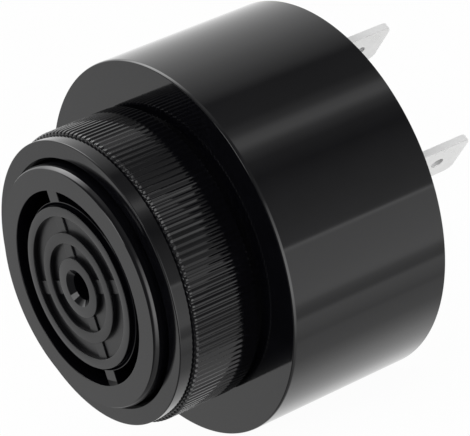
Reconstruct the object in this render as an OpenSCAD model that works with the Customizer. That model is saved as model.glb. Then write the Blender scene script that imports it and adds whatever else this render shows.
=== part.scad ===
// Panel-mount electronic buzzer: a round body behind the panel, a neck that ends in a grille,
// a knurled ring nut and two blade terminals. The neck points along -Y and the panel lies at Y = 0.

/* [Housing] */
// Outer diameter of the body behind the panel
body_d = 43; // [41:0.5:50]
// Length of the body from its shoulder to its back rim
body_len = 20.8; // [19:0.1:26]
// Wall of the body
body_wall = 1.9; // [1.5:0.1:2.3]
// Thickness of the shoulder that bears on the panel
shoulder_t = 2.2; // [1.6:0.1:3]
// Rounding of the shoulder's outer edge
front_edge_r = 0.15; // [0.1:0.05:0.8]
// Rounding of the back rim
back_edge_r = 0.1; // [0.05:0.05:0.5]

/* [Neck] */
// Diameter of the neck that goes through the panel
neck_d = 27.5; // [26.5:0.1:30]
// Length of the neck from the shoulder to the grille's face
neck_len = 12.3; // [11:0.1:16]
// Wall of the neck
neck_wall = 1.8; // [1.4:0.1:2.4]
// Length of the taper at the neck's front end
nose_taper_len = 0.78; // [0.5:0.02:1.2]
// Depth of that taper
nose_taper = 0.22; // [0.1:0.02:0.4]
// Bevel of the neck's front edge
nose_bevel = 0.08; // [0.05:0.01:0.2]

/* [Grille] */
// Thickness of the grille from its face to its inner side
grille_t = 2; // [1.6:0.1:3]
// Width of the flat rim round the grille
rim_w = 2.7; // [2.4:0.1:3.2]
// Width of the open slot inside the rim
slot_w = 1.45; // [1:0.05:1.7]
// Width of the low ledge round the outer raised ring
ring_ledge_w = 0.4; // [0.2:0.05:0.6]
// Width of the outer raised ring
outer_ring_w = 1.1; // [0.8:0.05:1.5]
// Width of the groove between the raised rings
outer_groove_w = 1.85; // [1.4:0.05:2.2]
// Width of the inner raised ring
inner_ring_w = 1.2; // [0.9:0.05:1.6]
// Width of the groove round the hub
inner_groove_w = 1.65; // [1.1:0.05:1.8]
// Depth of the raised rings and the hub below the rim
ring_drop = 0.15; // [0.1:0.01:0.3]
// Depth of the ribs below the rim
rib_drop = 0.52; // [0.4:0.01:0.6]
// Depth of the grooves, the ring's ledge and the webs below the rim
groove_drop = 0.71; // [0.6:0.01:1]
// Width of the ribs that cross the grooves
rib_w = 1.6; // [1:0.1:2]
// Width of the two webs that cross the open slot
web_w = 1.9; // [1.4:0.1:2.4]
// Diameter of the sound hole in the hub
hole_d = 3.1; // [2:0.1:3.4]
// Width of the countersink round the sound hole
sink_w = 0.55; // [0.2:0.05:0.7]
// Depth of the countersink
sink_depth = 0.6; // [0.3:0.05:0.8]
// Rounding of the rings' edges
ring_edge_r = 0.08; // [0.05:0.01:0.14]

/* [Ring nut] */
// Length of the nut
nut_len = 10.8; // [8:0.1:12]
// Wall of the nut from its bore to the root of the knurl
nut_wall = 2.5; // [1.8:0.02:3]
// Gap between the neck and the nut's bore
nut_clear = 0.2; // [0.1:0.05:0.4]
// Number of teeth in the knurl
knurl_count = 140; // [100:1:160]
// Height of the knurl's teeth
knurl_h = 0.14; // [0.1:0.02:0.3]
// Length of the smooth lip in front of the knurl
lip_len = 1.7; // [1:0.1:2.5]
// Length of the smooth collar behind the knurl
collar_len = 0.65; // [0.3:0.05:1.2]
// Depth of the collar below the root of the knurl
collar_step = 0.6; // [0.3:0.05:1]
// Depth of the lip below the root of the knurl
lip_step = 0.29; // [0.14:0.01:0.4]
// Rounding of the lip's front edge
lip_edge_r = 0.12; // [0.05:0.01:0.4]
// Length of the bevel at the front end of the teeth
front_bevel_len = 0.45; // [0.3:0.05:0.8]
// Length of the bevel at the rear end of the teeth
rear_bevel_len = 0.35; // [0.2:0.05:0.8]
// Bevel at both ends of the nut's bore
bore_bevel = 0.3; // [0.1:0.05:0.6]

/* [Terminals] */
// Width of a blade
blade_w = 6.3; // [4.8:0.1:6.4]
// Thickness of a blade
blade_t = 0.8; // [0.5:0.1:1]
// Length of a blade behind the back of the body
blade_out = 8.5; // [6:0.1:10]
// Distance between the middles of the two blades
blade_spacing = 15.5; // [12:0.1:17]
// Direction from the first blade to the second, seen from the front
blade_angle = -58.5; // [-70:0.5:-50]
// Extra width on each side of a blade's root inside the body
root_extra = 0.5; // [0.2:0.1:0.6]
// Gap between a blade's root and the body's wall
root_gap = 0.45; // [0.2:0.05:1]
// Diameter of the eye in a blade
eye_d = 1.5; // [1.2:0.1:2.2]
// Distance from a blade's tip to the middle of its eye
eye_from_tip = 3.45; // [2.5:0.05:4]
// Rounding of the corners of a blade's tip
tip_corner_r = 1; // [0.3:0.1:1.5]
// Width of the two solder legs of a blade
leg_w = 1.2; // [0.8:0.1:1.6]
// Distance between the middles of those legs
leg_spacing = 4; // [3:0.1:5]

/* [Rear cover] */
// Thickness of the rear cover
cover_t = 2; // [1.2:0.1:3]
// Width of the ledge that the cover rests on
cover_ledge_w = 0.7; // [0.5:0.05:0.9]
// Gap round the cover and round each blade in it
cover_clear = 0.1; // [0.05:0.01:0.2]

/* [Sounder] */
// Gap between the brass plate and the body's wall
plate_gap = 2.1; // [1.2:0.1:2.6]
// Thickness of the brass plate
plate_t = 0.3; // [0.2:0.05:0.5]
// Bare margin of the brass plate round the ceramic disc
ceramic_margin = 5; // [4:0.1:7]
// Thickness of the ceramic disc
ceramic_t = 0.25; // [0.15:0.05:0.4]
// Bare margin of the ceramic round its electrode
electrode_margin = 0.7; // [0.3:0.1:1.5]
// Thickness of the electrode
electrode_t = 0.05; // [0.03:0.01:0.1]
// Height of the seat behind the shoulder
seat_h = 1.7; // [1:0.1:2.2]
// Width of the plate's edge on its seat
seat_overlap = 1.7; // [1:0.1:2.2]
// Thickness of the gasket on the seat
gasket_t = 0.3; // [0.2:0.05:0.5]
// Width of the plate's edge under the clamp ring
clamp_overlap = 1.9; // [1:0.1:2.2]
// Gap round the clamp ring, and round the plate in it
clamp_clear = 0.1; // [0.05:0.01:0.2]

/* [Circuit board] */
// Thickness of the board
board_t = 1.6; // [1:0.1:2]
// Share of the free depth inside the body that lies in front of the board
front_share = 0.43; // [0.35:0.01:0.5]
// Gap round the board
board_clear = 0.15; // [0.1:0.05:0.3]
// Diameter of the leads
lead_d = 0.6; // [0.4:0.05:0.8]
// Gap round a lead in the board
lead_clear = 0.1; // [0.05:0.01:0.15]
// Height of a solder joint
solder_h = 0.7; // [0.4:0.05:1]
// Width of solder round a lead at the board
solder_w = 0.4; // [0.2:0.05:0.5]
// Gap between the clamp ring and the solder joints under it
solder_room = 0.2; // [0.1:0.05:0.3]
// Outer diameter of the leads to the sounder
wire_d = 0.8; // [0.5:0.05:1]
// Length of those leads along the sounder
wire_tail = 2.5; // [1.5:0.1:3]

/* [Board parts] */
// Diameter of the inductor's flanges
inductor_d = 8; // [6:0.1:9]
// Gap between the inductor and the rear cover
inductor_gap = 0.7; // [0.3:0.1:1.5]
// Thickness of the inductor's flanges
flange_t = 1; // [0.6:0.1:1.4]
// Diameter of the inductor's core
core_d = 3.6; // [3:0.1:4.5]
// Depth of the winding below the flanges
winding_inset = 0.4; // [0.2:0.1:0.8]
// Diameter of the capacitor
capacitor_d = 5; // [4:0.1:6]
// Gap between the capacitor and the rear cover
capacitor_gap = 1.2; // [0.3:0.1:2]
// Depth of the bead round the capacitor
bead_depth = 0.25; // [0.1:0.05:0.4]
// Height of the bead above the board
bead_at = 1.2; // [0.9:0.1:2]
// Diameter of the transistor's round side
transistor_d = 4.7; // [4:0.1:5.2]
// Distance from the transistor's middle to its flat side
transistor_flat = 1.4; // [0.8:0.1:1.8]
// Gap between the transistor and the rear cover
transistor_gap = 1.4; // [0.3:0.1:2]
// Height of the transistor above the board
transistor_lift = 1.2; // [0.5:0.1:2]
// Length of the driver chip
chip_len = 4.9; // [4:0.1:6]
// Width of the driver chip
chip_w = 3.9; // [3:0.1:4.5]
// Height of the driver chip's body
chip_h = 1.4; // [1:0.1:2]
// Gap under the driver chip
chip_lift = 0.15; // [0.1:0.05:0.3]
// Reach of the driver chip's feet beside its body
foot_reach = 1; // [0.6:0.1:1.2]
// Width of the driver chip's feet
foot_w = 0.42; // [0.3:0.02:0.6]
// Thickness of the driver chip's feet
foot_t = 0.2; // [0.15:0.01:0.3]
// Distance between the driver chip's feet
foot_pitch = 1.27; // [1:0.01:1.3]
// Diameter of the resistors
resistor_d = 2.2; // [1.6:0.1:2.4]
// Length of the resistors' bodies
resistor_len = 6; // [4:0.1:6.6]
// Diameter of the diode
diode_d = 2.7; // [2:0.1:3]
// Length of the diode's body
diode_len = 5; // [4:0.1:5.6]
// Length of an axial part's lead from its body to the bend
lead_reach = 1.4; // [1:0.1:1.6]

/* [Hidden] */
$fn = 96;
// Overlap of cuts and joined shapes
over = 0.3;
// Angle between the points of a blade's rounded corner
corner_turn = 15;

body_r = body_d / 2;
cavity_r = body_r - body_wall;
neck_r = neck_d / 2;
neck_bore_r = neck_r - neck_wall;

nose_r = neck_r - nose_taper;
slot_out_r = neck_r - rim_w;
slot_in_r = slot_out_r - slot_w;
outer_ring_r = slot_in_r - ring_ledge_w;
outer_groove_r = outer_ring_r - outer_ring_w;
inner_ring_r = outer_groove_r - outer_groove_w;
inner_groove_r = inner_ring_r - inner_ring_w;
hub_r = inner_groove_r - inner_groove_w;
ring_z = neck_len - ring_drop;
rib_z = neck_len - rib_drop;
web_z = neck_len - groove_drop;
grille_z = neck_len - grille_t;

nut_bore_r = neck_r + nut_clear;
knurl_root_r = nut_bore_r + nut_wall;
knurl_tip_r = knurl_root_r + knurl_h;
lip_r = knurl_root_r - lip_step;
collar_r = knurl_root_r - collar_step;
bevel_base_r = knurl_root_r - lip_step / 2;
knurl_front_z = nut_len - lip_len;
// Shares of a tooth's pitch taken by its crest and by the root beside it
crest_share = 0.24;
root_share = 0.12;

cover_seat_r = cavity_r + cover_ledge_w;
cover_r = cover_seat_r - cover_clear;
cover_z = cover_t - body_len;

seat_z = -shoulder_t - seat_h;
gasket_z = seat_z - gasket_t;
plate_z = gasket_z - plate_t;
ceramic_z = plate_z - ceramic_t;
electrode_z = ceramic_z - electrode_t;
plate_r = cavity_r - plate_gap;
ceramic_r = plate_r - ceramic_margin;
seat_r = plate_r - seat_overlap;
clamp_r = plate_r - clamp_overlap;
electrode_r = ceramic_r - electrode_margin;

free_depth = plate_z - cover_z - board_t;
parts_room = free_depth * (1 - front_share);
board_z = cover_z + parts_room;
board_front_z = board_z + board_t;
inductor_h = parts_room - inductor_gap;
capacitor_h = parts_room - capacitor_gap;
transistor_top = parts_room - transistor_gap;
transistor_h = transistor_top - transistor_lift;
board_r = cavity_r - board_clear;
lead_r = lead_d / 2;
solder_z = board_front_z + solder_h;
leg_r = norm([leg_w, blade_t]) / 2;

root_w = blade_w + 2 * root_extra;
blade_reach = cavity_r - root_gap;
blade_half_gap = blade_spacing / 2 + blade_t / 2;
blade_offset = sqrt(pow(blade_reach, 2) - pow(blade_half_gap, 2)) - root_w / 2;
blade_tip_z = -body_len - blade_out;
eye_z = blade_tip_z + eye_from_tip;

// Places of the board's parts in shares of its radius, seen from the front
inductor_at = board_r * [-0.46, -0.28];
capacitor_at = board_r * [-0.04, -0.62];
transistor_at = board_r * [-0.66, 0.2];
chip_at = board_r * [-0.12, 0.1];
diode_at = board_r * [0.29, -0.42];
resistor_at = board_r * [-0.2, 0.7];
resistor_gap = board_r * 0.165;
resistor_count = 3;
inductor_pin_gap = inductor_d - 3;
capacitor_pin_gap = capacitor_d * 0.4;
transistor_pin_gap = transistor_d * 0.4;
foot_count = 4;
resistor_span = resistor_len + 2 * lead_reach;
diode_span = diode_len + 2 * lead_reach;
resistor_places = [for (i = [0:resistor_count - 1]) resistor_at - [0, i * resistor_gap]];

// Places of the leads to the sounder
wire_r = wire_d / 2;
plate_wire_angle = 215;
ceramic_wire_angle = 150;
plate_wire_at = (ceramic_r + clamp_r) / 2 * [cos(plate_wire_angle), sin(plate_wire_angle)];
ceramic_wire_at = electrode_r / 2 * [cos(ceramic_wire_angle), sin(ceramic_wire_angle)];

function pair_x(at, span) = [at - [span / 2, 0], at + [span / 2, 0]];
function blade_side(side) = side * blade_spacing / 2;
function blade_point(side, along) =
    blade_side(side) * [cos(blade_angle), sin(blade_angle)]
    + (blade_offset + along) * [-sin(blade_angle), cos(blade_angle)];

leg_points = [for (side = [-1, 1]) for (along = [-1, 1]) blade_point(side, along * leg_spacing / 2)];
transistor_pins = [for (i = [-1:1]) transistor_at + [0, i * transistor_pin_gap]];
lead_points = concat(
    pair_x(inductor_at, inductor_pin_gap),
    pair_x(capacitor_at, capacitor_pin_gap),
    transistor_pins,
    pair_x(diode_at, diode_span),
    [for (at = resistor_places) for (p = pair_x(at, resistor_span)) p]
);
wire_points = [plate_wire_at, ceramic_wire_at];

// Turns a shape drawn with its front up so that its front looks along -Y
module facing() {
    rotate([90, 0, 0]) children();
}

module ring(outer_r, inner_r, low, high) {
    rotate_extrude() translate([inner_r, low]) square([outer_r - inner_r, high - low]);
}

module disc(r, low, high) {
    translate([0, 0, low]) cylinder(r = r, h = high - low);
}

// What a rounded edge takes off a square corner whose tip is at the origin, with the solid at lower left
module edge_cut(r) {
    translate([-r, -r]) difference() {
        square(r + over);
        circle(r);
    }
}

// A ring-shaped cut in the grille's profile, with the edges of the lands beside it rounded
module groove_cut(outer_r, inner_r, drop, outer_land_z) {
    translate([inner_r, neck_len - drop]) square([outer_r - inner_r, drop + over]);
    translate([inner_r, ring_z]) edge_cut(ring_edge_r);
    translate([outer_r, outer_land_z]) mirror([1, 0]) edge_cut(ring_edge_r);
}

module housing_profile() {
    difference() {
        union() {
            translate([0, -body_len]) square([body_r, body_len]);
            polygon([
                [0, -shoulder_t],
                [neck_r, -shoulder_t],
                [neck_r, neck_len - nose_taper_len],
                [nose_r, neck_len - nose_bevel],
                [nose_r - nose_bevel, neck_len],
                [0, neck_len]
            ]);
        }
        translate([body_r, 0]) edge_cut(front_edge_r);
        translate([body_r, -body_len]) mirror([0, 1]) edge_cut(back_edge_r);
        translate([0, -body_len - over]) square([cover_seat_r, cover_t + over]);
        translate([0, cover_z - over]) square([cavity_r, -shoulder_t - cover_z + over]);
        translate([0, -shoulder_t - over]) square([neck_bore_r, grille_z + shoulder_t + over]);
        translate([0, ring_z]) square([slot_out_r, ring_drop + over]);
        translate([slot_in_r, grille_z - over]) square([slot_w, grille_t + 2 * over]);
        groove_cut(slot_out_r, outer_ring_r, groove_drop, neck_len);
        groove_cut(outer_groove_r, inner_ring_r, groove_drop, ring_z);
        groove_cut(inner_groove_r, hub_r, groove_drop, ring_z);
    }
    translate([seat_r, seat_z]) square([cavity_r - seat_r + over, seat_h + over]);
}

// Ribs cross the grooves both ways, and an upright web bridges the open slot at each end
module grille_ribs() {
    reach = 2 * (outer_groove_r + over);
    for (turn = [0, 90])
        rotate([0, 0, turn])
            translate([-reach / 2, -rib_w / 2, grille_z])
                cube([reach, rib_w, rib_z - grille_z]);
    for (turn = [0, 180])
        rotate([0, 0, turn])
            translate([-web_w / 2, slot_in_r - over, grille_z])
                cube([web_w, slot_w + 2 * over, web_z - grille_z]);
}

module sound_hole() {
    hole_r = hole_d / 2;
    slope = sink_w / sink_depth;
    disc(hole_r, grille_z - over, neck_len);
    translate([0, 0, ring_z - sink_depth])
        cylinder(r1 = hole_r, r2 = hole_r + sink_w + over * slope, h = sink_depth + over);
}

module housing() {
    color("#17181a") facing() difference() {
        union() {
            rotate_extrude() housing_profile();
            grille_ribs();
        }
        sound_hole();
    }
}

function knurl_tooth(i) =
    let (pitch = 360 / knurl_count, flank = (1 - crest_share - root_share) / 2)
    [for (p = [
        [0, knurl_root_r],
        [root_share, knurl_root_r],
        [root_share + flank, knurl_tip_r],
        [root_share + flank + crest_share, knurl_tip_r]
    ]) p[1] * [cos((i + p[0]) * pitch), sin((i + p[0]) * pitch)]];

module knurl_outline() {
    polygon([for (i = [0:knurl_count - 1]) each knurl_tooth(i)]);
}

// Section of the nut as turned, before the knurl is cut
module nut_profile() {
    bevel_depth = knurl_tip_r - bevel_base_r;
    wide_r = knurl_tip_r + over;
    rear_rise = rear_bevel_len / bevel_depth;
    front_rise = front_bevel_len / bevel_depth;
    difference() {
        polygon([
            [nut_bore_r + bore_bevel, 0],
            [collar_r, 0],
            [collar_r, collar_len],
            [bevel_base_r, collar_len],
            [wide_r, collar_len + (bevel_depth + over) * rear_rise],
            [wide_r, knurl_front_z - (bevel_depth + over) * front_rise],
            [bevel_base_r, knurl_front_z],
            [lip_r, knurl_front_z],
            [lip_r, nut_len],
            [nut_bore_r + bore_bevel, nut_len],
            [nut_bore_r, nut_len - bore_bevel],
            [nut_bore_r, bore_bevel]
        ]);
        translate([lip_r, nut_len]) edge_cut(lip_edge_r);
    }
}

module ring_nut() {
    color("#1b1c1e") facing() intersection() {
        rotate_extrude() nut_profile();
        translate([0, 0, -over]) linear_extrude(nut_len + 2 * over) knurl_outline();
    }
}

// Places a shape drawn in a blade's own frame: X across its width, Y through its thickness
module at_blade(side) {
    place = blade_point(side, 0);
    translate([place[0], place[1], 0]) rotate([0, 0, blade_angle + 90]) children();
}

function tip_corner(side, start) = [
    for (turn = [start:corner_turn:start + 90])
        [side * (blade_w / 2 - tip_corner_r), blade_tip_z + tip_corner_r]
        + tip_corner_r * [cos(turn), sin(turn)]
];

// Outline of a blade: its root stands on the board behind the cover and its legs pass through the board
module blade_outline() {
    half = blade_w / 2;
    root_half = root_w / 2;
    polygon(concat(
        [[-root_half, board_z], [-root_half, cover_z], [-half, cover_z]],
        tip_corner(-1, 180),
        tip_corner(1, 270),
        [[half, cover_z], [root_half, cover_z], [root_half, board_z]]
    ));
    for (along = [-1, 1])
        translate([along * leg_spacing / 2 - leg_w / 2, board_z - over])
            square([leg_w, board_t + over]);
}

module blade(side) {
    at_blade(side) difference() {
        rotate([90, 0, 0]) translate([0, 0, -blade_t / 2]) linear_extrude(blade_t) blade_outline();
        translate([0, blade_t / 2 + over, eye_z])
            rotate([90, 0, 0]) cylinder(d = eye_d, h = blade_t + 2 * over);
    }
}

module terminal_positive() {
    color("#d9dade") facing() blade(-1);
}

module terminal_negative() {
    color("#d9dade") facing() blade(1);
}

module rear_cover() {
    slot = [blade_w + 2 * cover_clear, blade_t + 2 * cover_clear, cover_t + 2 * over];
    color("#1d1e20") facing() difference() {
        disc(cover_r, -body_len, cover_z);
        for (side = [-1, 1])
            at_blade(side) translate([-slot[0] / 2, -slot[1] / 2, -body_len - over]) cube(slot);
    }
}

module piezo_plate() {
    color("#c7a24a") facing() disc(plate_r, plate_z, gasket_z);
}

module piezo_ceramic() {
    color("#d8d2c0") facing() disc(ceramic_r, ceramic_z, plate_z);
}

module piezo_electrode() {
    color("#cfd2d6") facing() disc(electrode_r, electrode_z, ceramic_z);
}

module piezo_gasket() {
    color("#e4e0d8") facing() ring(plate_r, seat_r, gasket_z, seat_z);
}

// The ring stands on the board, presses the plate on its seat and holds its edge in a recess
module clamp_ring() {
    color("#3a3c40") facing() difference() {
        ring(cavity_r - clamp_clear, clamp_r, board_front_z, gasket_z);
        disc(plate_r + clamp_clear, plate_z, gasket_z + over);
        for (at = leg_points)
            translate([at[0], at[1], 0])
                disc(leg_r + solder_w + solder_room, board_front_z - over, solder_z + solder_room);
    }
}

module circuit_board() {
    leg_hole = [leg_w + 2 * lead_clear, blade_t + 2 * lead_clear, board_t + 2 * over];
    color("#2f6b3a") facing() difference() {
        disc(board_r, board_z, board_front_z);
        for (at = lead_points)
            translate([at[0], at[1], 0]) disc(lead_r + lead_clear, board_z - over, board_front_z + over);
        for (side = [-1, 1])
            for (along = [-1, 1])
                at_blade(side)
                    translate([along * leg_spacing / 2 - leg_hole[0] / 2, -leg_hole[1] / 2, board_z - over])
                        cube(leg_hole);
    }
}

// Straight leads from the board's solder side up to a height behind the board
module pins(points, top_z) {
    for (at = points)
        translate([at[0], at[1], 0]) disc(lead_r, top_z, board_front_z);
}

module inductor_core() {
    low = board_z - inductor_h;
    color("#4a4744") facing() {
        translate([inductor_at[0], inductor_at[1], 0]) {
            disc(inductor_d / 2, board_z - flange_t, board_z);
            disc(core_d / 2, low, board_z);
            disc(inductor_d / 2, low, low + flange_t);
        }
        pins(pair_x(inductor_at, inductor_pin_gap), board_z - flange_t / 2);
    }
}

module inductor_winding() {
    low = board_z - inductor_h + flange_t;
    color("#b4672f") facing() translate([inductor_at[0], inductor_at[1], 0])
        ring(inductor_d / 2 - winding_inset, core_d / 2, low, board_z - flange_t);
}

module driver_chip() {
    top = board_z - chip_lift - chip_h;
    knee = board_z - chip_lift - chip_h / 2;
    color("#222326") facing() translate([chip_at[0], chip_at[1], 0]) {
        translate([-chip_len / 2, -chip_w / 2, top]) cube([chip_len, chip_w, chip_h]);
        for (i = [0:foot_count - 1])
            for (side = [0, 1])
                mirror([0, side, 0])
                    translate([(i - (foot_count - 1) / 2) * foot_pitch - foot_w / 2, 0, 0])
                        chip_foot(knee);
    }
}

module chip_foot(knee) {
    bend = chip_w / 2 + foot_reach / 2;
    translate([0, chip_w / 2 - over, knee - foot_t]) cube([foot_w, foot_reach / 2 + over, foot_t]);
    translate([0, bend - foot_t, knee - foot_t]) cube([foot_w, foot_t, board_z - knee + foot_t]);
    translate([0, bend - foot_t, board_z - foot_t]) cube([foot_w, foot_reach / 2 + foot_t, foot_t]);
}

module transistor() {
    top = board_z - transistor_top;
    color("#202124") facing() {
        translate([transistor_at[0], transistor_at[1], 0]) difference() {
            disc(transistor_d / 2, top, board_z - transistor_lift);
            translate([transistor_flat, -transistor_d / 2 - over, top - over])
                cube([transistor_d, transistor_d + 2 * over, transistor_h + 2 * over]);
        }
        pins(transistor_pins, board_z - transistor_lift - over);
    }
}

module capacitor() {
    r = capacitor_d / 2;
    low = board_z - capacitor_h;
    color("#2b3a66") facing() {
        translate([capacitor_at[0], capacitor_at[1], 0]) rotate_extrude() difference() {
            translate([0, low]) square([r, capacitor_h]);
            translate([r + bead_depth, board_z - bead_at]) circle(2 * bead_depth);
            translate([r, low]) mirror([0, 1]) edge_cut(bead_depth);
        }
        pins(pair_x(capacitor_at, capacitor_pin_gap), board_z - over);
    }
}

// A part that lies on the board with its leads bent down at both ends
module axial_part(at, d, len, span) {
    axis_z = board_z - d / 2;
    translate([at[0] - len / 2, at[1], axis_z]) rotate([0, 90, 0]) cylinder(d = d, h = len);
    translate([at[0] - span / 2, at[1], axis_z]) rotate([0, 90, 0]) cylinder(d = lead_d, h = span);
    for (p = pair_x(at, span))
        translate([p[0], p[1], axis_z]) sphere(d = lead_d);
    pins(pair_x(at, span), axis_z);
}

module diode() {
    color("#242428") facing() axial_part(diode_at, diode_d, diode_len, diode_span);
}

module resistors() {
    color("#c9b48a") facing()
        for (at = resistor_places)
            axial_part(at, resistor_d, resistor_len, resistor_span);
}

// A lead from the board's solder side that bends over and lies along the sounder
module sounder_wire(at, rest_z) {
    axis_z = rest_z - wire_r;
    translate([at[0], at[1], 0]) rotate([0, 0, atan2(at[1], at[0]) + 90]) {
        disc(wire_r, solder_z, axis_z);
        translate([0, 0, axis_z]) sphere(wire_r);
        translate([0, 0, axis_z]) rotate([0, 90, 0]) cylinder(r = wire_r, h = wire_tail);
    }
}

module wire_plate() {
    color("#23262b") facing() sounder_wire(plate_wire_at, plate_z);
}

module wire_ceramic() {
    color("#a3262a") facing() sounder_wire(ceramic_wire_at, electrode_z);
}

module solder_joints() {
    color("#b9bcc2") facing() {
        for (at = concat(lead_points, wire_points))
            translate([at[0], at[1], board_front_z])
                cylinder(r1 = lead_r + solder_w, r2 = wire_r, h = solder_h);
        for (at = leg_points)
            translate([at[0], at[1], board_front_z])
                cylinder(r1 = leg_r + solder_w, r2 = leg_r, h = solder_h);
    }
}

housing();
ring_nut();
rear_cover();
terminal_positive();
terminal_negative();
piezo_plate();
piezo_ceramic();
piezo_electrode();
piezo_gasket();
clamp_ring();
circuit_board();
inductor_core();
inductor_winding();
driver_chip();
transistor();
capacitor();
diode();
resistors();
wire_plate();
wire_ceramic();
solder_joints();
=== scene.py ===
"""Looks of a panel-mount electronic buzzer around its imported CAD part: glossy black mouldings,
a finely knurled ring nut and tin-plated blades, in a white light tent."""

import math

import bmesh
import bpy
from mathutils import Matrix, Vector


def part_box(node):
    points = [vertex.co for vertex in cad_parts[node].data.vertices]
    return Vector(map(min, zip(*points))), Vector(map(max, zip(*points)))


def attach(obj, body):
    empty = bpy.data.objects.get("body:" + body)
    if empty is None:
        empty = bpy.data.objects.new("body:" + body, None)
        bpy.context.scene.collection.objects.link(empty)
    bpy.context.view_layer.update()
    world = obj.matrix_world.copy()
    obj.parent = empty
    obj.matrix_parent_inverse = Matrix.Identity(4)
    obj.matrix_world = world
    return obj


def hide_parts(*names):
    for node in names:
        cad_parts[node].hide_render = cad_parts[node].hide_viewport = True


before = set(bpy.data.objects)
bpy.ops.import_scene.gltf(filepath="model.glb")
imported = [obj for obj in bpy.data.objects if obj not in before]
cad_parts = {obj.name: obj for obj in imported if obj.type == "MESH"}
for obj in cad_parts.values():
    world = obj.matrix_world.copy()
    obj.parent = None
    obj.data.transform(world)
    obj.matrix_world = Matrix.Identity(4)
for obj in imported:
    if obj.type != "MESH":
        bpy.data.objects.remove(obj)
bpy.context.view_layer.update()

MM = 0.001

# Sizes in millimetres. Radii are from the axis, and heights are in front of the shoulder.
housing_low, housing_high = (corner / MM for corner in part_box("housing"))
nut_low, nut_high = (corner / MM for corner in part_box("ring_nut"))
cover_low, cover_high = (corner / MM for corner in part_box("rear_cover"))
blade_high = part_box("terminal_negative")[1] / MM

BODY_R = housing_high.x
NOSE_Z = -housing_low.y
BACK_Z = -housing_high.y
NUT_Z = -nut_low.y
KNURL_TIP_R = nut_high.x
COVER_R = cover_high.x
COVER_Z = -cover_low.y
BLADE_TIP_Z = -blade_high.y

# The body's front edge is rounded further along the body than across the shoulder.
FRONT_EDGE_R = 0.15
FRONT_EDGE_LEN = 0.45
BACK_EDGE_R = 0.1
SHOULDER_T = 2.2
CAVITY_R = 19.6
COVER_SEAT_R = 20.3
SEAT_R = 15.8
SEAT_Z = -3.9
NECK_R = 13.75
NECK_BORE_R = 11.95
NOSE_TAPER_LEN = 0.62
NOSE_TAPER = 0.16
NOSE_BEVEL = 0.09
TAPER_BLEND = 0.04

GRILLE_T = 2.0
RING_DEPTH = 0.15
RIB_DEPTH = 0.52
GROOVE_DEPTH = 0.71
GRILLE_Z = NOSE_Z - GRILLE_T
RING_Z = NOSE_Z - RING_DEPTH
RIB_Z = NOSE_Z - RIB_DEPTH
GROOVE_Z = NOSE_Z - GROOVE_DEPTH
SLOT_OUT_R = 11.05
SLOT_IN_R = 9.6
OUTER_RING_R = 9.2
OUTER_GROOVE_R = 8.1
INNER_RING_R = 6.25
INNER_GROOVE_R = 5.05
HUB_R = 3.4
HOLE_R = 1.55
SINK_W = 0.55
SINK_DEPTH = 0.6
RIB_W = 1.6
WEB_W = 1.9
LAND_EDGE_R = 0.08
RIB_EDGE_R = 0.08
# A bar's ends go into what carries it, its underside stays off the grille's back, and a web's top stands
# just over the ledge that it runs into.
BAR_OVERLAP = 0.2
BAR_BACK_GAP = 0.05
WEB_RISE = 0.004

NUT_BORE_R = 13.95
BORE_BEVEL = 0.3
TOOTH_H = 0.14
KNURL_ROOT_R = KNURL_TIP_R - TOOTH_H
KNURL_COUNT = 140
# Shares of a tooth's pitch: its flat crest, its flat root, and how far its corners are trimmed.
CREST_SHARE = 0.24
ROOT_SHARE = 0.12
TOOTH_TRIM = 0.02
LIP_STEP = 0.29
LIP_LEN = 1.7
LIP_R = KNURL_ROOT_R - LIP_STEP
BEVEL_BASE_R = KNURL_ROOT_R - LIP_STEP / 2
LIP_EDGE_R = 0.12
LIP_BACK_R = 0.1
KNURL_FRONT_Z = NUT_Z - LIP_LEN
COLLAR_LEN = 0.65
COLLAR_STEP = 0.6
COLLAR_R = KNURL_ROOT_R - COLLAR_STEP
FRONT_BEVEL_LEN = 0.45
REAR_BEVEL_LEN = 0.35

BLADE_W = 6.3
BLADE_T = 0.8
BLADE_ANGLE = math.radians(-58.5)
BLADE_SPACING = 15.5
BLADE_OFFSET = 13.679
BLADE_EDGE_R = 0.09
TIP_CORNER_R = 1.0
EYE_R = 0.75
EYE_FROM_TIP = 3.45
COVER_SLOT_GAP = 0.1
COVER_EDGE_R = 0.15

# Steps of the meshes. A narrow band beside a rounded edge keeps the flat next to it flat in its shading.
TURNS = 288
ARC_STEPS = 5
TOOTH_END_ROWS = 6
PLATE_EDGE_STEPS = 2
EYE_STEPS = 64
COVER_STEPS = 256
EDGE_BAND = 0.04
SHARP_ANGLE = math.radians(34)
LARGE_FACES_LEAD = 100


# Meshes

def arc(centre, radius, start_deg, end_deg):
    """Points of a profile's rounded corner."""
    step = (end_deg - start_deg) / ARC_STEPS
    angles = [math.radians(start_deg + step * i) for i in range(ARC_STEPS + 1)]
    return [(centre[0] + radius * math.cos(a), centre[1] + radius * math.sin(a)) for a in angles]


def outer_corner(r, z, radius):
    """The front outer edge of a land, going inwards."""
    return arc((r - radius, z - radius), radius, 0, 90)


def inner_corner(r, z, radius):
    """The front inner edge of a land, going inwards and down."""
    return arc((r + radius, z - radius), radius, 90, 180)


def point(r, z, angle):
    """A place given by radius, height in front of the shoulder and angle, in metres."""
    return Vector((r * math.cos(angle), -z, r * math.sin(angle))) * MM


def add_lathe(mesh, profile):
    """Turns a closed profile of (radius, height) points about the part's axis."""
    rings = [
        [mesh.verts.new(point(r, z, math.tau * i / TURNS)) for i in range(TURNS)]
        for r, z in profile
    ]
    for low, high in zip(rings, rings[1:] + rings[:1]):
        for i in range(TURNS):
            j = (i + 1) % TURNS
            mesh.faces.new((low[i], low[j], high[j], high[i]))


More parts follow.
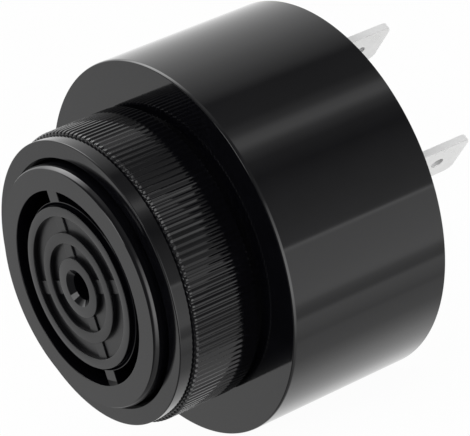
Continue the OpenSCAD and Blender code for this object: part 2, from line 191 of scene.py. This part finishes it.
def add_bar(mesh, start, end, width, low, high, angle):
    """A rib from one radius to another, with its two long front edges rounded."""
    half = width / 2
    section = (
        [(-half, low)]
        + list(reversed(arc((-half + RIB_EDGE_R, high - RIB_EDGE_R), RIB_EDGE_R, 90, 180)))
        + list(reversed(arc((half - RIB_EDGE_R, high - RIB_EDGE_R), RIB_EDGE_R, 0, 90)))
        + [(half, low)]
    )
    turn = Matrix.Rotation(-angle, 4, "Y")
    ends = [
        [mesh.verts.new(turn @ (Vector((r, -z, across)) * MM)) for across, z in section]
        for r in (start, end)
    ]
    count = len(section)
    for i in range(count):
        j = (i + 1) % count
        mesh.faces.new((ends[0][i], ends[0][j], ends[1][j], ends[1][i]))
    mesh.faces.new(ends[0])
    mesh.faces.new(list(reversed(ends[1])))


def finish_piece(name, mesh, node, material):
    """Makes a piece of a bmesh. It stands for a CAD node and takes that node's place."""
    bmesh.ops.recalc_face_normals(mesh, faces=mesh.faces)
    data = bpy.data.meshes.new(name)
    mesh.to_mesh(data)
    mesh.free()
    piece = bpy.data.objects.new(name, data)
    bpy.context.scene.collection.objects.link(piece)
    return dress_piece(piece, node, material)


def dress_piece(piece, node, material):
    """Gives a piece its material, even shading, and the place of its CAD node."""
    data = piece.data
    data.materials.clear()
    data.materials.append(material)
    data.polygons.foreach_set("use_smooth", [True] * len(data.polygons))
    data.set_sharp_from_angle(angle=SHARP_ANGLE)
    weighted = piece.modifiers.new("even_normals", "WEIGHTED_NORMAL")
    weighted.keep_sharp = True
    weighted.weight = LARGE_FACES_LEAD
    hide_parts(node)
    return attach(piece, "root")


def housing_shell():
    """Body, shoulder, neck and rim, with the hollow behind them."""
    taper_z = NOSE_Z - NOSE_TAPER_LEN
    taper_slope = NOSE_TAPER / (NOSE_TAPER_LEN - NOSE_BEVEL)
    return (
        arc((BODY_R - BACK_EDGE_R, BACK_Z + BACK_EDGE_R), BACK_EDGE_R, -90, 0)
        + [
            (r, (z + FRONT_EDGE_R) * FRONT_EDGE_LEN / FRONT_EDGE_R - FRONT_EDGE_LEN)
            for r, z in outer_corner(BODY_R, 0, FRONT_EDGE_R)
        ]
        + [
            (NECK_R, 0),
            (NECK_R, taper_z - TAPER_BLEND),
            (NECK_R - taper_slope * TAPER_BLEND, taper_z + TAPER_BLEND),
            (NECK_R - NOSE_TAPER, NOSE_Z - NOSE_BEVEL),
            (NECK_R - NOSE_TAPER - NOSE_BEVEL, NOSE_Z),
        ]
        + inner_corner(SLOT_OUT_R, NOSE_Z, LAND_EDGE_R)
        + [
            (SLOT_OUT_R, GRILLE_Z),
            (NECK_BORE_R, GRILLE_Z),
            (NECK_BORE_R, -SHOULDER_T),
            (SEAT_R, -SHOULDER_T),
            (SEAT_R, SEAT_Z),
            (CAVITY_R, SEAT_Z),
            (CAVITY_R, COVER_Z),
            (COVER_SEAT_R, COVER_Z),
            (COVER_SEAT_R, BACK_Z),
        ]
    )


def grille_disc():
    """The rings and grooves inside the open slot, from its edge to the sound hole."""
    return (
        [(SLOT_IN_R, GRILLE_Z)]
        + outer_corner(SLOT_IN_R, GROOVE_Z, LAND_EDGE_R)
        + [(OUTER_RING_R, GROOVE_Z)]
        + outer_corner(OUTER_RING_R, RING_Z, LAND_EDGE_R)
        + inner_corner(OUTER_GROOVE_R, RING_Z, LAND_EDGE_R)
        + [(OUTER_GROOVE_R, GROOVE_Z), (INNER_RING_R, GROOVE_Z)]
        + outer_corner(INNER_RING_R, RING_Z, LAND_EDGE_R)
        + inner_corner(INNER_GROOVE_R, RING_Z, LAND_EDGE_R)
        + [(INNER_GROOVE_R, GROOVE_Z), (HUB_R, GROOVE_Z)]
        + outer_corner(HUB_R, RING_Z, LAND_EDGE_R)
        + [(HOLE_R + SINK_W, RING_Z), (HOLE_R, RING_Z - SINK_DEPTH), (HOLE_R, GRILLE_Z)]
    )


def build_housing(material):
    """Shell and grille, with four ribs in the grooves and two webs across the slot."""
    mesh = bmesh.new()
    add_lathe(mesh, housing_shell())
    add_lathe(mesh, grille_disc())
    low = GRILLE_Z + BAR_BACK_GAP
    for quarter in range(4):
        angle = quarter * math.pi / 2
        add_bar(mesh, HUB_R - BAR_OVERLAP, OUTER_GROOVE_R + BAR_OVERLAP, RIB_W, low, RIB_Z, angle)
        if quarter % 2:
            add_bar(
                mesh, SLOT_IN_R - BAR_OVERLAP, SLOT_OUT_R + BAR_OVERLAP, WEB_W, low, GROOVE_Z + WEB_RISE, angle
            )
    return finish_piece("housing_moulding", mesh, "housing", material)


def tooth_section():
    """Places over one tooth's pitch and the depths there, as shares: flat root, two slopes and flat crest."""
    slope_w = 0.5 - (CREST_SHARE + ROOT_SHARE) / 2
    foot = ROOT_SHARE / 2
    top = foot + slope_w
    corner = TOOTH_TRIM / (2 * slope_w)
    support = 2 * TOOTH_TRIM / slope_w
    half = [
        (foot - 2 * TOOTH_TRIM, 1),
        (foot - TOOTH_TRIM, 1),
        (foot + TOOTH_TRIM, 1 - corner),
        (foot + 2 * TOOTH_TRIM, 1 - support),
        (top - 2 * TOOTH_TRIM, support),
        (top - TOOTH_TRIM, corner),
        (top + TOOTH_TRIM, 0),
        (top + 2 * TOOTH_TRIM, 0),
    ]
    return half + [(1 - share, depth) for share, depth in reversed(half)]


def end_rows(end_z, length):
    """Heights and largest radii along a rounded end of the teeth, from the plain knurl to its end."""
    turns = [math.pi / 2 * i / TOOTH_END_ROWS for i in range(TOOTH_END_ROWS + 1)]
    rise = KNURL_TIP_R - BEVEL_BASE_R
    start_z = end_z - length
    plain = (start_z - math.copysign(EDGE_BAND, length), KNURL_TIP_R)
    return [plain] + [(start_z + length * math.sin(t), BEVEL_BASE_R + rise * math.cos(t)) for t in turns]


def build_ring_nut(material):
    """The knurl is one skin, and the lip, the collar, the bore and the ends are rings of the same skin."""
    section = tooth_section()
    around = KNURL_COUNT * len(section)
    rear_rows = list(reversed(end_rows(COLLAR_LEN, -REAR_BEVEL_LEN)))
    rows = rear_rows + end_rows(KNURL_FRONT_Z, FRONT_BEVEL_LEN)
    plain = (
        arc((LIP_R - LIP_BACK_R, KNURL_FRONT_Z + LIP_BACK_R), LIP_BACK_R, -90, 0)
        + [(LIP_R, KNURL_FRONT_Z + LIP_BACK_R + EDGE_BAND), (LIP_R, NUT_Z - LIP_EDGE_R - EDGE_BAND)]
        + outer_corner(LIP_R, NUT_Z, LIP_EDGE_R)
        + [
            (LIP_R - LIP_EDGE_R - EDGE_BAND, NUT_Z),
            (NUT_BORE_R + BORE_BEVEL, NUT_Z),
            (NUT_BORE_R, NUT_Z - BORE_BEVEL),
            (NUT_BORE_R, BORE_BEVEL),
            (NUT_BORE_R + BORE_BEVEL, 0),
            (COLLAR_R, 0),
            (COLLAR_R, COLLAR_LEN),
        ]
    )
    mesh = bmesh.new()
    angles = [
        math.tau * (tooth + share) / KNURL_COUNT
        for tooth in range(KNURL_COUNT)
        for share, _ in section
    ]
    depths = [TOOTH_H * depth for _, depth in section] * KNURL_COUNT
    rings = [
        [mesh.verts.new(point(widest - depth, z, a)) for depth, a in zip(depths, angles)]
        for z, widest in rows
    ]
    rings += [[mesh.verts.new(point(r, z, a)) for a in angles] for r, z in plain]
    for low, high in zip(rings, rings[1:] + rings[:1]):
        for i in range(around):
            j = (i + 1) % around
            mesh.faces.new((low[i], low[j], high[j], high[i]))
    return finish_piece("knurled_nut", mesh, "ring_nut", material)


def plate_piece(name, outlines, thickness, edge_r, place, node, material):
    """A flat plate cut to closed outlines, the first one outside and the rest holes, with rounded edges."""
    curve = bpy.data.curves.new(name, "CURVE")
    curve.dimensions = "2D"
    curve.fill_mode = "BOTH"
    curve.extrude = (thickness / 2 - edge_r) * MM
    curve.bevel_depth = edge_r * MM
    curve.bevel_resolution = PLATE_EDGE_STEPS
    curve.offset = -edge_r * MM
    for outline in outlines:
        spline = curve.splines.new("POLY")
        spline.points.add(len(outline) - 1)
        spline.use_cyclic_u = True
        for spot, (x, y) in zip(spline.points, outline):
            spot.co = (x * MM, y * MM, 0, 1)
    draft = bpy.data.objects.new(name + "_draft", curve)
    bpy.context.scene.collection.objects.link(draft)
    bpy.context.view_layer.update()
    solved = draft.evaluated_get(bpy.context.evaluated_depsgraph_get())
    data = bpy.data.meshes.new_from_object(solved)
    bpy.data.objects.remove(draft)
    data.name = name
    data.transform(place)
    piece = bpy.data.objects.new(name, data)
    bpy.context.scene.collection.objects.link(piece)
    return dress_piece(piece, node, material)


def circle(x, y, radius, steps):
    """Points of a round outline."""
    return [
        (x + radius * math.cos(math.tau * i / steps), y + radius * math.sin(math.tau * i / steps))
        for i in range(steps)
    ]


def blade_place(side):
    """Frame of a blade: X across its width, Y towards its tip and Z through its thickness."""
    through = Vector((math.cos(BLADE_ANGLE), 0, math.sin(BLADE_ANGLE)))
    across = Vector((-math.sin(BLADE_ANGLE), 0, math.cos(BLADE_ANGLE)))
    along = Vector((0, 1, 0))
    centre = (through * side * BLADE_SPACING / 2 + across * BLADE_OFFSET) * MM
    turned = Matrix((across, along, across.cross(along))).transposed().to_4x4()
    return Matrix.Translation(centre) @ turned


def build_blade(name, node, side, material):
    """A flat blade with an eye and two rounded corners at its tip."""
    tip = -BLADE_TIP_Z
    root = -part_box(node)[0].y / MM
    half = BLADE_W / 2
    corner_x = half - TIP_CORNER_R
    corner_y = tip - TIP_CORNER_R
    outline = (
        [(-half, -root), (half, -root)]
        + arc((corner_x, corner_y), TIP_CORNER_R, 0, 90)
        + arc((-corner_x, corner_y), TIP_CORNER_R, 90, 180)
    )
    eye = circle(0, tip - EYE_FROM_TIP, EYE_R, EYE_STEPS)
    return plate_piece(
        name, [outline, eye], BLADE_T, BLADE_EDGE_R, blade_place(side), node, material
    )


def build_cover(material):
    """The disc that closes the body, with a slot for each blade."""
    middle = Matrix.Translation((0, -(COVER_Z + BACK_Z) / 2 * MM, 0))
    turned = middle @ Matrix.Rotation(math.pi / 2, 4, "X")
    half_w = BLADE_W / 2 + COVER_SLOT_GAP
    half_t = BLADE_T / 2 + COVER_SLOT_GAP
    slots = []
    for side in (-1, 1):
        place = blade_place(side)
        corners = [(-half_w, -half_t), (half_w, -half_t), (half_w, half_t), (-half_w, half_t)]
        spots = [place @ (Vector((x, 0, y)) * MM) for x, y in corners]
        slots.append([(spot.x / MM, spot.z / MM) for spot in spots])
    outlines = [circle(0, 0, COVER_R, COVER_STEPS)] + slots
    thickness = COVER_Z - BACK_Z
    return plate_piece(
        "back_cover", outlines, thickness, COVER_EDGE_R, turned, "rear_cover", material
    )


# Materials

# Every finish has a fine grain in its relief, and broad patches in its colour and roughness.
GRAIN_DETAIL = 4
PATCH_DETAIL = 3
GRAINS_A_PATCH = 12
PATCH_START = 0.3
PATCH_END = 0.7
BUMP_STRENGTH = 0.5

BLACK_DARK = (0.0016, 0.0016, 0.0025)
BLACK_LIGHT = (0.0027, 0.0027, 0.0038)
NUT_IOR = 1.47
# The grille's grooves are rougher than the rest, and the step in its slot gets no reflection, which paints it
# black as painted shade.
GROOVE_EXTRA_ROUGH = 0.28
GROOVE_FADE = 0.1
SHADED_STEP_SHINE = 0.0
PLAIN_SHINE = 0.5
STEP_FADE = 0.02
# A blade's surface counts as cut edge or as plated by how far it faces through the blade. The cut edges get a
# near-white matt colour, a painted shine in place of the bright light they reflect.
CUT_EDGE_PAINTED_SHINE = (0.93, 0.93, 0.93)
PLATING_METAL = 0.78
EDGE_FACING = 0.4
PLATED_FACING = 0.8


def add_node(tree, kind, **settings):
    """A new node with its settings."""
    made = tree.nodes.new(kind)
    for key, value in settings.items():
        setattr(made, key, value)
    return made


def spread(tree, source, start, end, low=0.0, high=1.0):
    """A signal from start to end, as one from low to high."""
    ranged = add_node(tree, "ShaderNodeMapRange")
    ranged.inputs["From Min"].default_value = start
    ranged.inputs["From Max"].default_value = end
    ranged.inputs["To Min"].default_value = low
    ranged.inputs["To Max"].default_value = high
    tree.links.new(source, ranged.inputs["Value"])
    return ranged.outputs["Result"]


def calculate(tree, operation, first, second=None):
    """A Math node of one or two signals."""
    made = add_node(tree, "ShaderNodeMath", operation=operation)
    tree.links.new(first, made.inputs[0])
    if second is not None:
        tree.links.new(second, made.inputs[1])
    return made


def mix_colours(tree, factor, first=None, second=None):
    """A colour that goes from the first to the second."""
    made = add_node(tree, "ShaderNodeMix", data_type="RGBA")
    tree.links.new(factor, made.inputs["Factor"])
    for name, source in (("A", first), ("B", second)):
        if source is not None:
            tree.links.new(source, made.inputs[name])
    return made


def object_noise(tree, scale, detail, stretch=(1, 1, 1)):
    """Noise fixed to the piece, in features per millimetre."""
    coords = add_node(tree, "ShaderNodeTexCoord")
    mapping = add_node(tree, "ShaderNodeMapping")
    mapping.inputs["Scale"].default_value = tuple(s / MM for s in stretch)
    noise = add_node(tree, "ShaderNodeTexNoise")
    noise.inputs["Scale"].default_value = scale
    noise.inputs["Detail"].default_value = detail
    tree.links.new(coords.outputs["Object"], mapping.inputs["Vector"])
    tree.links.new(mapping.outputs["Vector"], noise.inputs["Vector"])
    return noise.outputs["Fac"]


def surface_material(name, dark, light, rough, grain, grain_height, metallic=0.0, ior=1.5, stretch=(1, 1, 1)):
    """A finish between two colours and two roughnesses, with grain in features per millimetre."""
    material = bpy.data.materials.new(name)
    material.use_nodes = True
    tree = material.node_tree
    shader = tree.nodes["Principled BSDF"]
    # The middle of each range stands in where a viewer can't follow the nodes.
    middle = tuple((a + b) / 2 for a, b in zip(dark, light))
    shader.inputs["Base Color"].default_value = (*middle, 1)
    shader.inputs["Roughness"].default_value = sum(rough) / 2
    shader.inputs["Metallic"].default_value = metallic
    shader.inputs["IOR"].default_value = ior
    fine = object_noise(tree, grain, GRAIN_DETAIL, stretch)
    broad = object_noise(tree, grain / GRAINS_A_PATCH, PATCH_DETAIL)

    ramp = add_node(tree, "ShaderNodeValToRGB")
    for stop, position, colour in zip(ramp.color_ramp.elements, (PATCH_START, PATCH_END), (dark, light)):
        stop.position = position
        stop.color = (*colour, 1)
    tree.links.new(broad, ramp.inputs["Fac"])
    tree.links.new(ramp.outputs["Color"], shader.inputs["Base Color"])
    tree.links.new(spread(tree, broad, 0, 1, *rough), shader.inputs["Roughness"])

    bump = add_node(tree, "ShaderNodeBump")
    bump.inputs["Strength"].default_value = BUMP_STRENGTH
    bump.inputs["Distance"].default_value = grain_height * MM
    tree.links.new(fine, bump.inputs["Height"])
    tree.links.new(bump.outputs["Normal"], shader.inputs["Normal"])
    return material


def axis_radius(tree):
    """Distance from the part's axis, in metres."""
    coords = add_node(tree, "ShaderNodeTexCoord")
    across = add_node(tree, "ShaderNodeVectorMath", operation="MULTIPLY")
    across.inputs[1].default_value = (1, 0, 1)
    tree.links.new(coords.outputs["Object"], across.inputs[0])
    radius = add_node(tree, "ShaderNodeVectorMath", operation="LENGTH")
    tree.links.new(across.outputs["Vector"], radius.inputs[0])
    return radius.outputs["Value"]


def housing_material():
    """Glossy black, with rougher grooves in the grille and painted shade on the step in its slot, whose
    reflection is turned off.
    """
    material = surface_material("gloss_black", BLACK_DARK, BLACK_LIGHT, (0.04, 0.09), 3, 0.0002)
    tree = material.node_tree
    shader = tree.nodes["Principled BSDF"]
    radius = axis_radius(tree)

    past_hub = spread(tree, radius, (HUB_R - GROOVE_FADE) * MM, HUB_R * MM)
    groove_end = OUTER_GROOVE_R + GROOVE_FADE
    grain = spread(tree, radius, OUTER_GROOVE_R * MM, groove_end * MM, GROOVE_EXTRA_ROUGH, 0)
    grooves = calculate(tree, "MULTIPLY", past_hub, grain).outputs[0]
    plain = shader.inputs["Roughness"].links[0].from_socket
    tree.links.new(calculate(tree, "ADD", plain, grooves).outputs[0], shader.inputs["Roughness"])

    # Painted shade: the step beside the outer ring gets no reflection at all, so it shows black as it would in
    # the shade of the ring's wall.
    step_r = (OUTER_RING_R + SLOT_IN_R - LAND_EDGE_R) / 2
    half_step = step_r - OUTER_RING_R
    off_step = calculate(tree, "SUBTRACT", radius)
    off_step.inputs[1].default_value = step_r * MM
    apart = calculate(tree, "ABSOLUTE", off_step.outputs[0]).outputs[0]
    step_edge = ((half_step - STEP_FADE) * MM, (half_step + STEP_FADE) * MM)
    shine_with_painted_shade = spread(tree, apart, *step_edge, SHADED_STEP_SHINE, PLAIN_SHINE)
    tree.links.new(shine_with_painted_shade, shader.inputs["Specular IOR Level"])
    return material


def tin_material():
    """Bright plating on the blades' flat faces, and a duller, cut metal on their edges whose near-white colour
    is a painted shine.
    """
    material = surface_material(
        "tin_plating", (0.61, 0.61, 0.605), (0.74, 0.74, 0.735), (0.22, 0.36), 4, 0.002, 1.0
    )
    tree = material.node_tree
    shader = tree.nodes["Principled BSDF"]
    coords = add_node(tree, "ShaderNodeTexCoord")
    through = add_node(tree, "ShaderNodeVectorMath", operation="DOT_PRODUCT")
    through.inputs[1].default_value = (math.cos(BLADE_ANGLE), 0, math.sin(BLADE_ANGLE))
    tree.links.new(coords.outputs["Normal"], through.inputs[0])
    facing = calculate(tree, "ABSOLUTE", through.outputs["Value"]).outputs[0]
    metal = spread(tree, facing, EDGE_FACING, PLATED_FACING, 0, PLATING_METAL)
    tree.links.new(metal, shader.inputs["Metallic"])
    plating = shader.inputs["Base Color"].links[0].from_socket
    both = mix_colours(tree, spread(tree, facing, EDGE_FACING, PLATED_FACING), second=plating)
    # The cut edges' near-white colour is painted shine, standing for the bright light along them.
    both.inputs["A"].default_value = (*CUT_EDGE_PAINTED_SHINE, 1)
    tree.links.new(both.outputs["Result"], shader.inputs["Base Color"])
    return material


inner_materials = {
    "piezo_plate": surface_material(
        "rolled_brass", (0.7, 0.5, 0.2), (0.8, 0.62, 0.28), (0.25, 0.4), 5, 0.002, 1.0
    ),
    "piezo_ceramic": surface_material(
        "fired_ceramic", (0.72, 0.68, 0.58), (0.82, 0.78, 0.68), (0.5, 0.65), 8, 0.003
    ),
    "piezo_electrode": surface_material(
        "silver_film", (0.76, 0.77, 0.78), (0.86, 0.86, 0.86), (0.35, 0.5), 10, 0.002, 1.0
    ),
    "piezo_gasket": surface_material(
        "gasket_foam", (0.68, 0.66, 0.6), (0.78, 0.76, 0.7), (0.75, 0.9), 12, 0.02
    ),
    "clamp_ring": surface_material(
        "clamp_grey", (0.035, 0.035, 0.04), (0.055, 0.055, 0.06), (0.4, 0.55), 5, 0.005
    ),
    "circuit_board": surface_material(
        "solder_mask", (0.03, 0.15, 0.05), (0.06, 0.22, 0.08), (0.25, 0.4), 6, 0.003
    ),
    "inductor_core": surface_material(
        "ferrite", (0.06, 0.056, 0.052), (0.11, 0.1, 0.095), (0.6, 0.75), 9, 0.008
    ),
    "inductor_winding": surface_material(
        "copper_wire", (0.45, 0.15, 0.05), (0.65, 0.27, 0.1), (0.2, 0.35), 4, 0.03, 1.0,
        stretch=(0.1, 4, 0.1),
    ),
    "driver_chip": surface_material(
        "chip_epoxy", (0.018, 0.018, 0.02), (0.03, 0.03, 0.032), (0.5, 0.65), 10, 0.006
    ),
    "transistor": surface_material(
        "transistor_epoxy", (0.018, 0.018, 0.02), (0.03, 0.03, 0.032), (0.45, 0.6), 9, 0.006
    ),
    "capacitor": surface_material(
        "can_sleeve", (0.02, 0.035, 0.11), (0.035, 0.055, 0.16), (0.2, 0.3), 4, 0.002
    ),
    "diode": surface_material(
        "diode_epoxy", (0.02, 0.02, 0.022), (0.032, 0.032, 0.034), (0.45, 0.6), 9, 0.006
    ),
    "resistors": surface_material(
        "resistor_lacquer", (0.52, 0.4, 0.24), (0.64, 0.52, 0.34), (0.3, 0.45), 7, 0.004
    ),
    "wire_plate": surface_material(
        "black_insulation", (0.016, 0.016, 0.018), (0.026, 0.026, 0.028), (0.4, 0.55), 8, 0.004
    ),
    "wire_ceramic": surface_material(
        "red_insulation", (0.34, 0.02, 0.02), (0.46, 0.04, 0.035), (0.4, 0.55), 8, 0.004
    ),
    "solder_joints": surface_material(
        "solder", (0.56, 0.57, 0.59), (0.68, 0.69, 0.7), (0.2, 0.35), 6, 0.006, 1.0
    ),
}
for node, material in inner_materials.items():
    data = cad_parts[node].data
    data.materials.clear()
    data.materials.append(material)

nut_black = surface_material("nut_black", BLACK_DARK, BLACK_LIGHT, (0.06, 0.11), 3, 0.0003, ior=NUT_IOR)
cover_black = surface_material(
    "satin_black", (0.007, 0.007, 0.008), (0.011, 0.011, 0.012), (0.35, 0.5), 4, 0.004
)
tin = tin_material()

build_housing(housing_material())
build_ring_nut(nut_black)
build_cover(cover_black)
build_blade("blade_positive", "terminal_positive", -1, tin)
build_blade("blade_negative", "terminal_negative", 1, tin)


# Camera

PHOTO_WIDTH = 470
PHOTO_HEIGHT = 436
SENSOR_WIDTH = 36
CLIP_NEAR = 0.01
CLIP_FAR = 20
FOCAL_PX = 3290.6
PRINCIPAL_PX = (243.56, 221.52)
CAMERA_AT = Vector((302.2025, -177.0146, 60.5512)) * MM
CAMERA_RIGHT = Vector((0.545349, 0.784989, -0.293916))
CAMERA_UP = Vector((0.019706, 0.338544, 0.940744))

camera = bpy.data.objects.new("camera", bpy.data.cameras.new("camera"))
camera.data.sensor_width = SENSOR_WIDTH
camera.data.lens = FOCAL_PX / PHOTO_WIDTH * SENSOR_WIDTH
camera.data.shift_x = (PHOTO_WIDTH / 2 - PRINCIPAL_PX[0]) / PHOTO_WIDTH
camera.data.shift_y = (PRINCIPAL_PX[1] - PHOTO_HEIGHT / 2) / PHOTO_WIDTH
camera.data.clip_start = CLIP_NEAR
camera.data.clip_end = CLIP_FAR
camera.matrix_world = Matrix.Translation(CAMERA_AT) @ Matrix(
    (CAMERA_RIGHT, CAMERA_UP, CAMERA_RIGHT.cross(CAMERA_UP))
).transposed().to_4x4()
bpy.context.scene.collection.objects.link(camera)
bpy.context.scene.camera = camera


# Stage

# Brightness of the tent about the part's axis, by the angle in degrees from +X towards +Z: behind the part and
# beside it, where a long lamp hangs overhead and a card stands on the right. The dip from about -105 to -62,
# under the part, is a painted reflection of the part's own shadow on the floor.
TENT_BACK = (
    (-180, 1.1), (-157, 0.96), (-138, 1.24), (-107, 1.03), (-88, 0.66), (-75, 0.71), (-72.8, 0.62),
    (-65.5, 0.84), (-60, 0.98), (-58, 0.6), (-55, 0.63), (-51, 0.82), (-48.5, 1.2), (-45, 1.27),
    (-16.4, 1.16), (-15, 1.95), (-14, 0.5), (12, 0.3), (28, 0.15), (38, 0.24), (44.5, 0.52), (49, 1.08),
    (53, 1.0), (57, 0.5), (64, 0.24), (82, 0.17), (88, 0.4), (100, 0.68), (116, 0.94), (138, 1.12),
    (160, 1.24), (180, 1.17),
)
TENT_SIDE = (
    (-180, 0.95), (-164, 0.75), (-150, 0.6), (-140, 0.5), (-125, 0.36), (-110, 0.3),
    (-84, 0.47), (-66, 0.8), (-48, 2.2), (-35, 3.2), (-15, 2.9),
    (0, 1.8), (10, 1.1), (16, 0.4), (30, 0.28), (56, 0.25), (80, 0.55), (88, 0.6),
    (98, 2.2), (108, 4.4), (124, 4.4), (134, 3.0), (147, 1.4), (160, 1.0), (180, 0.95),
)
# Brightness of the tent's front, on its dark side towards the camera and on its lit left side.
TENT_FRONT_DARK = 0.17
TENT_FRONT_LIT = 0.8
# Where one part of the tent fades into the next, in the Y or X of a direction.
BACK_TO_SIDE_Y = (0.46, 0.36)
SIDE_TO_FRONT_Y = (-0.15, -0.32)
DARK_TO_LIT_X = (-0.3, -0.6)
# The even light that matt surfaces get from the whole tent.
TENT_FILL = 0.7

FLOOR_SIZE = 3.0
FLOOR_COLOUR = 0.92
FLOOR_ROUGH = 0.9
FLOOR_GLOW = 0.97

LAMP_TOWARDS = (0.33, -0.79, 0.52)
LAMP_DISTANCE = 0.6
LAMP_SIZE = 0.24
LAMP_RADIANCE = 3


def grey(level):
    """A colour without hue, for a colour socket."""
    return (level, level, level, 1)


def seen_directly(tree):
    """1 for rays that show the surroundings themselves: from the camera, in a mirror or through glass."""
    path = add_node(tree, "ShaderNodeLightPath")
    both = calculate(tree, "MAXIMUM", path.outputs["Is Camera Ray"], path.outputs["Is Glossy Ray"])
    return calculate(tree, "MAXIMUM", both.outputs[0], path.outputs["Is Transmission Ray"]).outputs[0]


def wall_ramp(tree, share, levels):
    """Brightness by the share of a turn about the axis."""
    ramp = add_node(tree, "ShaderNodeValToRGB")
    stops = ramp.color_ramp.elements
    while len(stops) < len(levels):
        stops.new(1.0)
    for stop, (angle, level) in zip(stops, levels):
        stop.position = (angle + 180) / 360
        stop.color = grey(level)
    tree.links.new(share, ramp.inputs["Fac"])
    return ramp.outputs["Color"]


def build_tent():
    """A white tent with an open side towards the camera. The camera itself sees plain white."""
    world = bpy.data.worlds.new("light_tent")
    bpy.context.scene.world = world
    world.use_nodes = True
    tree = world.node_tree
    coords = add_node(tree, "ShaderNodeTexCoord")
    split = add_node(tree, "ShaderNodeSeparateXYZ")
    tree.links.new(coords.outputs["Generated"], split.inputs[0])

    turn = calculate(tree, "ARCTAN2", split.outputs["Z"], split.outputs["X"]).outputs[0]
    share = spread(tree, turn, -math.pi, math.pi)
    back = wall_ramp(tree, share, TENT_BACK)
    side = wall_ramp(tree, share, TENT_SIDE)
    beside = spread(tree, split.outputs["Y"], *BACK_TO_SIDE_Y)
    walls = mix_colours(tree, beside, back, side).outputs["Result"]
    front = spread(tree, split.outputs["X"], *DARK_TO_LIT_X, TENT_FRONT_DARK, TENT_FRONT_LIT)
    before = spread(tree, split.outputs["Y"], *SIDE_TO_FRONT_Y)
    tent = mix_colours(tree, before, walls, front).outputs["Result"]

    path = add_node(tree, "ShaderNodeLightPath")
    backdrop = mix_colours(tree, path.outputs["Is Camera Ray"], tent)
    backdrop.inputs["B"].default_value = grey(1)
    filled = mix_colours(tree, seen_directly(tree), second=backdrop.outputs["Result"])
    filled.inputs["A"].default_value = grey(TENT_FILL)
    tree.links.new(filled.outputs["Result"], tree.nodes["Background"].inputs["Color"])


def build_floor():
    """A white sheet under the part. The camera sees its even white and a trace of the part's shadow."""
    bpy.ops.mesh.primitive_plane_add(size=FLOOR_SIZE, location=(0, 0, housing_low.z * MM))
    floor = bpy.context.object
    floor.name = "floor"
    material = bpy.data.materials.new("white_sheet")
    material.use_nodes = True
    tree = material.node_tree
    paper = tree.nodes["Principled BSDF"]
    paper.inputs["Base Color"].default_value = grey(FLOOR_COLOUR)
    paper.inputs["Roughness"].default_value = FLOOR_ROUGH
    glow = add_node(tree, "ShaderNodeEmission")
    share = calculate(tree, "MULTIPLY", seen_directly(tree))
    share.inputs[1].default_value = FLOOR_GLOW
    both = add_node(tree, "ShaderNodeMixShader")
    tree.links.new(share.outputs[0], both.inputs["Fac"])
    tree.links.new(paper.outputs[0], both.inputs[1])
    tree.links.new(glow.outputs[0], both.inputs[2])
    tree.links.new(both.outputs[0], tree.nodes["Material Output"].inputs["Surface"])
    floor.data.materials.append(material)
    # Mirrors see the tent instead of the floor, and the tent carries a painted reflection of the part's shadow
    # on it.
    floor.visible_glossy = False


def build_lamp():
    """A square soft lamp in front of the part, which faces it with the brightness of its cloth."""
    lamp = bpy.data.lights.new("front_softbox", "AREA")
    lamp.shape = "RECTANGLE"
    lamp.size = LAMP_SIZE
    lamp.size_y = LAMP_SIZE
    lamp.energy = LAMP_RADIANCE * math.pi * LAMP_SIZE * LAMP_SIZE
    holder = bpy.data.objects.new("front_softbox", lamp)
    direction = Vector(LAMP_TOWARDS).normalized()
    holder.location = direction * LAMP_DISTANCE
    holder.rotation_euler = direction.to_track_quat("Z", "Y").to_euler()
    bpy.context.scene.collection.objects.link(holder)


build_tent()
build_floor()
build_lamp()

bpy.context.scene.view_settings.view_transform = "Standard"
